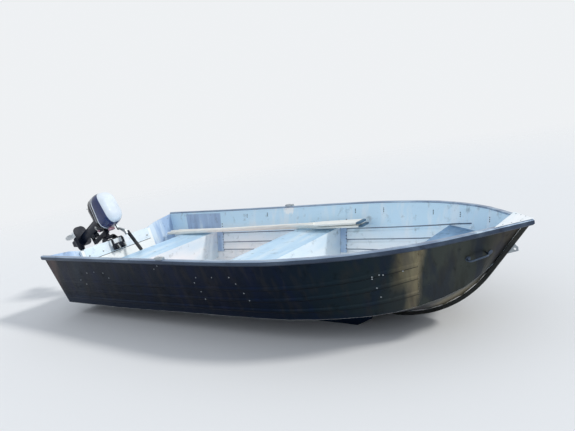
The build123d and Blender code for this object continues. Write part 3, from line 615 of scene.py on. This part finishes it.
def faces_up_or_in(face):
    """The rails' tops and the lips that look into the boat, which take the painted highlight."""
    return face.normal.z > 0.3 or face.normal.y * face.center.y < -0.2 * abs(face.center.y)


def faces_inboard(face):
    """The stem bar's back, which shows inside the bow."""
    return face.normal.x < -0.3 or face.normal.z > 0.3


def faces_forward(face):
    return face.normal.x > 0.3


# Each side's nodes, as name, materials, edge radius, segments of the edge, choice of faces
# The plating's outer faces take painted shade, its inner faces painted light, and its grooves' tops and ridge
# undersides painted shade
plating = (outer_shade_alloy, inner_lit_alloy, groove_shade_alloy, ridge_shade_alloy)
side_finishes = [
    ("side_plate", plating, 0.0009, 2, faces_in),
    ("bow_plate", plating, 0.0009, 2, faces_in),
    ("bottom_plate", plating, 0.0009, 2, faces_up),
    ("bilge_runner", (outer_shade_alloy,), 0.0030, 2, None),
    ("gunwale_rail", (rail_shade_alloy, rail_top_highlight_alloy), 0.0022, 3, faces_up_or_in),
    ("rowlock_socket", (cast_alloy,), 0.0015, 3, None),
    ("bow_handle", (rail_shade_alloy,), 0.0, 2, None),
    ("aft_knee", (knee_alloy,), 0.0006, 2, None),
    ("mid_knee", (inner_lit_alloy,), 0.0006, 2, None),
]

# The other nodes, in the same columns
thwart_lit_faces = (thwart_alloy, thwart_top_reflection_alloy)
single_finishes = [
    ("keel_stem_bar", (keel_shade_alloy, inner_lit_alloy), 0.0030, 3, faces_inboard),
    ("breasthook", (thwart_alloy,), 0.0012, 2, None),
    ("bow_eye", (cast_alloy,), 0.0015, 3, None),
    ("aft_thwart", thwart_lit_faces, 0.0010, 3, faces_up),
    ("mid_thwart", thwart_lit_faces, 0.0010, 3, faces_up),
    ("bow_seat", (thwart_alloy, seat_shadow_alloy), 0.0010, 3, faces_up),
    ("floor_frames", (inner_lit_alloy,), 0.0020, 2, None),
    ("floorboard", (board_wood,), 0.0015, 2, None),
    ("transom_plate", (transom_shade_alloy, knee_alloy), 0.0009, 2, faces_forward),
    ("transom_cap", (thwart_alloy,), 0.0008, 2, None),
    ("transom_pad_inner", (pad_paint,), 0.0020, 2, None),
    ("transom_pad_outer", (pad_paint,), 0.0020, 2, None),
    ("oar_outer", (oar_paint,), 0.0030, 3, None),
    ("oar_band_outer", (tip_paint,), 0.0030, 3, None),
    ("oar_inner", (oar_paint,), 0.0030, 3, None),
    ("oar_band_inner", (tip_paint,), 0.0030, 3, None),
    ("clamp_bracket", (bracket_paint,), 0.0020, 3, None),
    ("clamp_screws", (zinc,), 0.0012, 2, None),
    ("tilt_pin", (zinc,), 0.0012, 2, None),
    ("swivel_bracket", (bracket_paint,), 0.0020, 3, None),
    ("steering_yoke", (bracket_paint,), 0.0020, 3, None),
    ("leg", (leg_paint,), 0.0020, 3, None),
    ("gearcase", (leg_paint,), 0.0015, 3, None),
    ("propeller", (prop_alloy,), 0.0008, 2, None),
    ("cowl_pan", (pan_paint,), 0.0030, 3, None),
    ("upper_cowl", (cowl,), 0.0060, 4, None),
    ("tiller_bracket", (cast_alloy,), 0.0025, 3, None),
    ("tiller_arm", (bracket_paint,), 0.0025, 3, None),
    ("tiller_grip", (rubber,), 0.0030, 3, None),
]
for side in ("port", "starboard"):
    for name, *finish in side_finishes:
        dressed(f"{name}_{side}", *finish)
for name, *finish in single_finishes:
    dressed(name, *finish)
nodes["engine_block"].data.materials.clear()
nodes["engine_block"].data.materials.append(engine_cast)


# Spots on the solids, each a point and a normal
def cast_on(names, start, direction):
    """Where a ray first meets any of the named nodes, or None."""
    start = Vector(start)
    met = []
    for name in names:
        hit, point, normal, _ = finished[name].ray_cast(start, Vector(direction))
        if hit:
            met.append((point, normal))
    return min(met, key=lambda spot: (spot[0] - start).length) if met else None


def side_nodes(side):
    """The nodes of one side's plating, 1 for port and -1 for starboard."""
    label = "port" if side > 0 else "starboard"
    return ["side_plate_" + label, "bow_plate_" + label]


def side_spot(x, z, side):
    """Spot on the outside of the plating at x and z."""
    return cast_on(side_nodes(side), (x, side * 1.5, z), (0, -side, 0))


def inner_spot(x, z, side):
    """Spot on the inside of the plating at x and z, its normal into the boat."""
    return cast_on(side_nodes(side), (x, side * 0.02, z), (0, side, 0))


def top_spot(name, x, y, start=1.0):
    """Spot on top of a node, met from a height."""
    return cast_on([name], (x, y, start), (0, 0, -1))


def pad_spot(y, z):
    """Spot on the transom's inner pad, met from ahead."""
    return cast_on(["transom_pad_inner"], (-1.5, y, z), (-1, 0, 0))


def leg_spot(x, z, side):
    """Spot on the gearcase or leg beside a point of the motor's upright frame."""
    start = motor_frame @ Vector((x, side * 0.12, z))
    return cast_on(["gearcase", "leg"], start, (motor_turn @ Vector((0, -side, 0))).normalized())


def foot_height(x, side):
    """Height of the side plating's lower edge at x."""
    z = 0.62
    while side_spot(x, z, side) and z > 0.05:
        z -= 0.004
    return z + 0.004


def stepped(low, high, step):
    """Even places from low to high, about a step apart."""
    count = max(1, round((high - low) / step))
    return [low + (high - low) * i / count for i in range(count + 1)]


# Rivets
def rivet_head():
    """One low domed head about the origin, its axis along Z."""
    bpy.ops.object.select_all(action="DESELECT")
    bpy.ops.mesh.primitive_uv_sphere_add(segments=10, ring_count=8, radius=rivet_radius)
    head = bpy.context.object
    bpy.ops.object.mode_set(mode="EDIT")
    bpy.ops.mesh.select_all(action="SELECT")
    bpy.ops.mesh.bisect(
        plane_co=(0, 0, -rivet_radius * 0.2), plane_no=(0, 0, 1), clear_inner=True, use_fill=True,
    )
    bpy.ops.mesh.select_all(action="SELECT")
    bpy.ops.transform.resize(value=(1, 1, rivet_rise / rivet_radius))
    bpy.ops.object.mode_set(mode="OBJECT")
    return head


def stood(form, point, normal, size=1.0):
    """Stands a form that was made about Z on a point, along a normal."""
    stand = Vector(normal).to_track_quat("Z", "Y").to_matrix().to_4x4()
    form.data.transform(Matrix.Translation(point) @ stand @ Matrix.Scale(size, 4))
    return form


def rivets(name, spots, made, size):
    """Copies of one head on the hull's spots, as one piece."""
    head = rivet_head()
    copies = []
    for point, normal in filter(None, spots):
        copy = bpy.data.objects.new("rivet", head.data.copy())
        bpy.context.collection.objects.link(copy)
        copies.append(stood(copy, point, normal, size))
    bpy.data.objects.remove(head)
    fitted(copies, name, "hull", made, angle=40.0)


# Pale heads on the outside, as (x, z): by the mid thwart, aft and by the seam
outer_heads = [
    (-0.076, 0.485), (0.091, 0.494), (0.260, 0.503), (-0.116, 0.438), (0.298, 0.452),
    (-0.087, 0.363), (0.335, 0.377), (-0.067, 0.304), (0.365, 0.322),
    (-1.623, 0.371), (-1.478, 0.449), (-1.362, 0.464), (-1.232, 0.461), (-1.176, 0.417),
    (-1.557, 0.335), (-0.460, 0.564), (-0.513, 0.535),
    (1.276, 0.488), (1.318, 0.498), (1.339, 0.495), (1.268, 0.471), (1.280, 0.406),
    (1.279, 0.334), (1.441, 0.503),
]
# Columns of three dark heads inside, just under the rails, as x and the top head's z
inner_columns = [
    (-0.922, 0.560), (-0.656, 0.568), (0.357, 0.585), (0.649, 0.595), (1.149, 0.596),
    (1.416, 0.606), (1.703, 0.618),
]
sides = ((1, "port"), (-1, "starboard"))
bpy.context.view_layer.update()
for side, label in sides:
    pale = [side_spot(x, z, side) for x, z in outer_heads]
    rivets("pale_rivets_" + label, pale, cast_alloy, 0.95)
    dark = []
    for x in stepped(-1.96, 1.42, chine_step):
        dark.append(side_spot(x, foot_height(x, side) + chine_inset, side))
    for z in stepped(0.30, 0.60, 0.045):
        dark.append(side_spot(seam_rivets_x, z, side))
    rivets("hull_rivets_" + label, dark, outer_shade_alloy, 0.8)
    columns = []
    for x, top in inner_columns:
        for row in range(3):
            columns.append(inner_spot(x, top - row * column_drop, side))
    rivets("inner_rivets_" + label, columns, outer_shade_alloy, 0.9)


# Side panels ahead of the thwarts, down from the knees
def side_panel(name, aft, fore, flat_heights, top, foot, side):
    """A thin sheet against the plating, straight between two heights clear of the grooves."""
    bpy.ops.object.select_all(action="DESELECT")
    bpy.ops.mesh.primitive_grid_add(x_subdivisions=2, y_subdivisions=6, size=1.0)
    sheet = bpy.context.object
    for vertex in sheet.data.vertices:
        x = aft + (fore - aft) * (vertex.co.x + 0.5)
        z = foot + (top - foot) * (vertex.co.y + 0.5)
        high, low = (inner_spot(x, height, side)[0].y for height in flat_heights)
        share = (z - flat_heights[1]) / (flat_heights[0] - flat_heights[1])
        vertex.co = (x, low + (high - low) * share - side * 0.0012, z)
    modify(sheet, "SOLIDIFY", thickness=0.0016, offset=0.0)
    bpy.ops.object.mode_set(mode="EDIT")
    bpy.ops.mesh.select_all(action="SELECT")
    bpy.ops.mesh.normals_make_consistent(inside=False)
    bpy.ops.object.mode_set(mode="OBJECT")
    fitted([sheet], "side_panel_" + name, "hull", knee_alloy, angle=30.0)


# Panels, as name, aft and fore edge, flat heights, top, foot, and the top of the edge's rivets
panels = [
    ("aft", -1.358, -1.270, (0.430, 0.235), 0.394, 0.190, 0.470),
    ("mid", 0.202, 0.268, (0.470, 0.285), 0.439, 0.220, 0.500),
]
for side, label in sides:
    shaded_edge_heads = []
    on_panel = Vector((0, side * 0.0022, 0))
    for name, aft, fore, flat_heights, top, foot, head_top in panels:
        side_panel(f"{name}_{label}", aft, fore, flat_heights, top, foot, side)
        for z in stepped(foot + 0.01, head_top, 0.026):
            spot = inner_spot(fore - 0.004, z, side)
            if spot:
                shaded_edge_heads.append((spot[0] - on_panel, spot[1]))
    # Dark heads along each panel's fore edge: real rivets whose dark colour also paints the shade along that edge
    rivets("panel_rivets_" + label, shaded_edge_heads, outer_shade_alloy, 1.0)


# Forms for small fittings
def turned(rings, segments):
    """A turned form about Z, drawn on from a disc through (radius, height) rings."""
    radius, height = rings[0]
    bpy.ops.object.select_all(action="DESELECT")
    bpy.ops.mesh.primitive_circle_add(
        vertices=segments, radius=radius, fill_type="NGON", location=(0, 0, height),
    )
    form = bpy.context.object
    bpy.ops.object.mode_set(mode="EDIT")
    bpy.ops.mesh.select_all(action="SELECT")
    for next_radius, next_height in rings[1:]:
        rise = {"value": (0, 0, next_height - height)}
        bpy.ops.mesh.extrude_region_move(TRANSFORM_OT_translate=rise)
        share = next_radius / radius
        centre = (0, 0, next_height)
        bpy.ops.transform.resize(value=(share, share, 1), center_override=centre)
        radius, height = next_radius, next_height
    bpy.ops.mesh.select_all(action="SELECT")
    bpy.ops.mesh.normals_make_consistent(inside=False)
    bpy.ops.object.mode_set(mode="OBJECT")
    placed(form)
    return form


def screws(name, spots, made, rings, segments):
    """The same turned head on each of the hull's spots, as one piece."""
    pieces = []
    for point, normal in filter(None, spots):
        pieces.append(stood(turned(rings, segments), point, normal))
    fitted(pieces, name, "hull", made)


def rod(points, radius):
    """A round bar along smooth points, as a mesh."""
    line = bpy.data.curves.new("rod", "CURVE")
    line.dimensions = "3D"
    line.bevel_depth = radius
    line.bevel_resolution = 4
    line.use_fill_caps = True
    spline = line.splines.new("NURBS")
    spline.points.add(len(points) - 1)
    for knot, point in zip(spline.points, points):
        knot.co = (*point, 1.0)
    spline.order_u = 3
    spline.use_endpoint_u = True
    bar = bpy.data.objects.new("rod", line)
    bpy.context.collection.objects.link(bar)
    only(bar)
    bpy.ops.object.convert(target="MESH")
    return bpy.context.object


def block(size, place, bevel):
    """A box with rounded edges, its place given by its middle."""
    bpy.ops.object.select_all(action="DESELECT")
    bpy.ops.mesh.primitive_cube_add(size=1, location=place)
    piece = bpy.context.object
    bpy.ops.object.mode_set(mode="EDIT")
    bpy.ops.mesh.select_all(action="SELECT")
    bpy.ops.transform.resize(value=size, center_override=place)
    bpy.ops.object.mode_set(mode="OBJECT")
    placed(piece)
    rounded(piece, bevel, 3)
    return piece


# Turned profiles, as (radius, height) from foot to top
pan_head = [(0.0048, 0.0), (0.0048, 0.0012), (0.0040, 0.0024), (0.0024, 0.0030)]
bolt_head = [(0.0130, 0.0), (0.0130, 0.0016), (0.0080, 0.0017), (0.0080, 0.0075), (0.0062, 0.0090)]
pad_disc = [(0.0170, 0.0), (0.0170, 0.0022), (0.0145, 0.0036), (0.0100, 0.0040)]
starter_bar = [(0.011, -0.034), (0.015, -0.030), (0.016, 0.0), (0.015, 0.030), (0.011, 0.034)]
starter_neck = [(0.013, 0.0), (0.013, 0.012), (0.008, 0.016), (0.008, 0.024)]
lever_boss = [(0.014, 0.0), (0.014, 0.008), (0.010, 0.011)]
lever_ball = [(0.005, -0.012), (0.010, -0.008), (0.012, 0.0), (0.010, 0.008), (0.005, 0.012)]
grip_ring = [(0.0166, -0.0022), (0.0186, -0.0012), (0.0186, 0.0012), (0.0166, 0.0022)]

# Fastenings of the hull, with the handles' feet as (x, z) and the breasthook's heads as (x, y)
handle_feet = [(1.7555, 0.5120), (1.8500, 0.51956)]
hook_heads = [(1.945, 0.125), (1.985, 0.09), (2.025, 0.05)]
socket_inset = 0.013
cap_screws_x = -2.052
cap_screws_y = stepped(-0.37, 0.37, 0.123)
pad_bolts_y = (-0.36, -0.2, 0.2, 0.36)
pad_bolts_z = (0.46, 0.27)
board_screws_x = stepped(-1.15, -0.45, 0.35)
board_screws_y = (-0.33, 0.0, 0.33)
thwart_end = 0.16
thwart_edge = 0.06
for side, label in sides:
    feet = [side_spot(x, z, side) for x, z in handle_feet]
    screws("handle_pads_" + label, feet, rail_shade_alloy, pad_disc, 24)
    socket = "rowlock_socket_" + label
    low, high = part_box(socket)
    ends = (low.x + socket_inset, high.x - socket_inset)
    tops = [top_spot(socket, x, (low.y + high.y) / 2) for x in ends]
    screws("rowlock_screws_" + label, tops, zinc, pan_head, 16)

cap_spots = [top_spot("transom_cap", cap_screws_x, y) for y in cap_screws_y]
screws("transom_cap_screws", cap_spots, zinc, pan_head, 16)
pad_spots = [pad_spot(y, z) for y in pad_bolts_y for z in pad_bolts_z]
screws("transom_pad_bolts", pad_spots, zinc, bolt_head, 18)
board_spots = [top_spot("floorboard", x, y, 0.3) for x in board_screws_x for y in board_screws_y]
screws("floorboard_screws", board_spots, zinc, pan_head, 16)
hook_spots = [top_spot("breasthook", x, side * y) for x, y in hook_heads for side, _ in sides]
rivets("breasthook_rivets", hook_spots, cast_alloy, 0.8)
thwart_spots = []
for name in ("aft_thwart", "mid_thwart", "bow_seat"):
    low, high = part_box(name)
    for x in stepped(low.x + thwart_edge, high.x - thwart_edge, 0.10):
        for side, _ in sides:
            y = side * (high.y - thwart_end)
            thwart_spots.append(top_spot(name, x, y, high.z + 0.05))
rivets("thwart_rivets", thwart_spots, cast_alloy, 0.8)


# Fittings of the motor
def on_motor(pieces, name, made):
    """Forms made in the motor's upright frame, tilted with it, as one piece."""
    for piece in pieces:
        piece.data.transform(motor_frame)
    fitted(pieces, name, "motor", made)


def cowl_ring(low, high, spread):
    """A slice of the cowl's own outline, a little larger than it."""
    ring = bpy.data.objects.new("ring", nodes["upper_cowl"].data.copy())
    bpy.context.collection.objects.link(ring)
    ring.data.transform(motor_frame.inverted())
    only(ring)
    bpy.ops.mesh.customdata_custom_splitnormals_clear()
    bpy.ops.object.mode_set(mode="EDIT")
    bpy.ops.mesh.select_all(action="SELECT")
    bpy.ops.mesh.remove_doubles(threshold=merge_distance)
    for height, side in ((low, "clear_inner"), (high, "clear_outer")):
        bpy.ops.mesh.select_all(action="SELECT")
        cut = {"plane_co": (0, 0, height), "plane_no": (0, 0, 1), "use_fill": True, side: True}
        bpy.ops.mesh.bisect(**cut)
    bpy.ops.mesh.select_all(action="SELECT")
    centre = (cowl_middle, 0, low)
    bpy.ops.transform.resize(value=(spread, spread * 1.004, 1), center_override=centre)
    bpy.ops.object.mode_set(mode="OBJECT")
    return ring


on_motor([cowl_ring(cowl_foot + 0.001, cowl_foot + 0.008, 1.010)], "cowl_seal", rubber)

# Latches of the cowl, as size, middle and edge radius of each block
latches = {
    "cowl_latch": [
        ((0.046, 0.010, 0.030), (-0.120, -0.1185, latch_z), 0.003),
        ((0.030, 0.012, 0.010), (-0.120, -0.1225, latch_z - 0.008), 0.002),
    ],
    "cowl_back_latch": [
        ((0.012, 0.050, 0.030), (-0.411, 0.0, latch_z), 0.003),
        ((0.012, 0.030, 0.010), (-0.416, 0.0, latch_z - 0.008), 0.002),
    ],
}
for name, blocks in latches.items():
    on_motor([block(*row) for row in blocks], name, rubber)

# Starter grip at the cowl's front, the shift lever and knob on its near side
starter = [
    stood(turned(starter_bar, 24), (-0.030, starter_y, starter_z), (0, 1, 0)),
    stood(turned(starter_neck, 20), (-0.056, starter_y, starter_z), (1, 0, 0)),
]
on_motor(starter, "starter_grip", knob_plastic)
lever_points = [
    (lever_x, -0.117, lever_z), (lever_x, -0.128, lever_z), (-0.100, -0.131, 0.075),
    (-0.072, -0.131, 0.098),
]
boss = stood(turned(lever_boss, 20), (lever_x, -0.1125, lever_z), (0, -1, 0))
on_motor([rod(lever_points, 0.0045), boss], "shift_lever", zinc)
ball = stood(turned(lever_ball, 20), (-0.066, -0.131, 0.103), (0.7, 0, 0.6))
on_motor([ball], "shift_knob", knob_plastic)

# Bolts along the pan's edge, screws of the gearcase and slots of the water inlet
edge_bolts = []
for x in (-0.330, -0.200, -0.075):
    for side, _ in sides:
        bolt = stood(turned(bolt_head, 18), (x, side * pan_side, 0.080), (0, side, 0), 0.55)
        edge_bolts.append(bolt)
on_motor(edge_bolts, "pan_bolts", zinc)
case_spots = [leg_spot(case_screws_x, z, side) for z in case_screws_z for side, _ in sides]
case_screws = []
for point, normal in filter(None, case_spots):
    case_screws.append(stood(turned(pan_head, 16), point, normal, 1.6))
fitted(case_screws, "gearcase_screws", "motor", zinc)
inlet_spots = [leg_spot(x, inlet_z, side) for x in inlet_x for side, _ in sides]
leg_up = motor_turn @ Vector((0, 0, 1))
inlets = []
for point, normal in filter(None, inlet_spots):
    across = normal.cross(leg_up).normalized()
    turn = Matrix((across, normal.cross(across), normal)).transposed().to_4x4()
    inlet = block((0.005, 0.030, 0.0020), (0, 0, 0), 0.0006)
    inlet.data.transform(Matrix.Translation(point) @ turn)
    inlets.append(inlet)
fitted(inlets, "water_inlet", "motor", rubber)

# Lower and upper mount covers between the leg and the swivel tube
covers = []
for z in (-0.030, -0.190):
    covers.append(block((0.044, 0.062, 0.064), (mount_x, 0.0, z), 0.010))
    for side, _ in sides:
        covers.append(stood(turned(bolt_head, 18), (mount_x, side * 0.0305, z), (0, side, 0), 0.7))
on_motor(covers, "mount_covers", leg_paint)

# A dark rod under the transom cap's inner flange, painted shadow of the gap there
shadow_start, shadow_end = (pad_spot(y, 0.4190)[0] for y in (-0.393, 0.393))
cap_shadow_rod = rod([shadow_start, shadow_start.lerp(shadow_end, 0.5), shadow_end], 0.0034)
fitted([cap_shadow_rod], "cap_shadow_rod", "hull", rubber, angle=40.0)

# Rings on the tiller's grip
arm_root = Vector(joints["tiller_fold"]["pos_m"])
arm_way = motor_turn @ Vector((math.cos(tiller_rise), 0, math.sin(tiller_rise)))
grip_rings = []
for step in range(7):
    point = arm_root + arm_way * (0.142 + 0.0135 * step)
    grip_rings.append(stood(turned(grip_ring, 28), point, arm_way))
fitted(grip_rings, "grip_rings", "tiller", rubber, angle=40.0)

# Camera
forward = Vector((
    math.cos(camera_pitch) * math.cos(camera_yaw),
    math.cos(camera_pitch) * math.sin(camera_yaw),
    math.sin(camera_pitch),
))
level_right = Vector((math.sin(camera_yaw), -math.cos(camera_yaw), 0))
level_up = level_right.cross(forward)
right = level_right * math.cos(camera_roll) + level_up * math.sin(camera_roll)
up = right.cross(forward)
camera_data = bpy.data.cameras.new("camera")
camera_data.lens = camera_lens
camera_data.sensor_width = 36.0
camera = bpy.data.objects.new("camera", camera_data)
bpy.context.collection.objects.link(camera)
camera_turn = Matrix((right, up, -forward)).transposed().to_4x4()
camera.matrix_world = Matrix.Translation(camera_place) @ camera_turn
bpy.context.scene.camera = camera

# Floor, which fades out with the distance from the boat
bpy.ops.object.select_all(action="DESELECT")
bpy.ops.mesh.primitive_plane_add(size=floor_size)
floor = bpy.context.object
floor.name = "floor"
floor_paint = material(
    "floor", 0.0, 0.9, Base_Color=(0.80, 0.81, 0.82, 1), Specular_IOR_Level=0.1,
)
distance = node(floor_paint, "VectorMath", operation="LENGTH")
link(floor_paint, node(floor_paint, "TexCoord").outputs["Object"], distance.inputs[0])
far = ranged(floor_paint, distance.outputs["Value"], *floor_fade, 0.0, 1.0)
fade = node(floor_paint, "MixShader")
link(floor_paint, far, fade.inputs["Fac"])
parts = floor_paint.node_tree.nodes
link(floor_paint, parts["Principled BSDF"].outputs["BSDF"], fade.inputs[1])
link(floor_paint, node(floor_paint, "BsdfTransparent").outputs["BSDF"], fade.inputs[2])
link(floor_paint, fade.outputs["Shader"], parts["Material Output"].inputs["Surface"])
floor.data.materials.append(floor_paint)

# World: a sky that lights the boat, and a paler one that is seen and mirrored
world = bpy.data.worlds.new("studio")
bpy.context.scene.world = world
world.use_nodes = True
sky = world.node_tree.nodes["Background"]
sky.inputs["Color"].default_value = (0.88, 0.93, 1.0, 1)
sky.inputs["Strength"].default_value = sky_strength
shown = node(world, "Background")
shown.inputs["Color"].default_value = (0.86, 0.88, 0.90, 1)
shown.inputs["Strength"].default_value = 1.0
rays = node(world, "LightPath").outputs
seen = math_of(world, "MAXIMUM", rays["Is Camera Ray"], rays["Is Glossy Ray"])
seen = math_of(world, "MAXIMUM", seen, rays["Is Transmission Ray"])
both = node(world, "MixShader")
link(world, seen, both.inputs["Fac"])
link(world, sky.outputs["Background"], both.inputs[1])
link(world, shown.outputs["Background"], both.inputs[2])
link(world, both.outputs["Shader"], world.node_tree.nodes["World Output"].inputs["Surface"])

# Sun
sun_data = bpy.data.lights.new("sun", "SUN")
sun_data.energy = sun_strength
sun_data.angle = math.radians(9)
sun_data.color = (1.0, 0.98, 0.94)
sun = bpy.data.objects.new("sun", sun_data)
bpy.context.collection.objects.link(sun)
sun.rotation_euler = Vector(sun_way).to_track_quat("-Z", "Y").to_euler()

bpy.context.scene.view_settings.view_transform = "Standard"
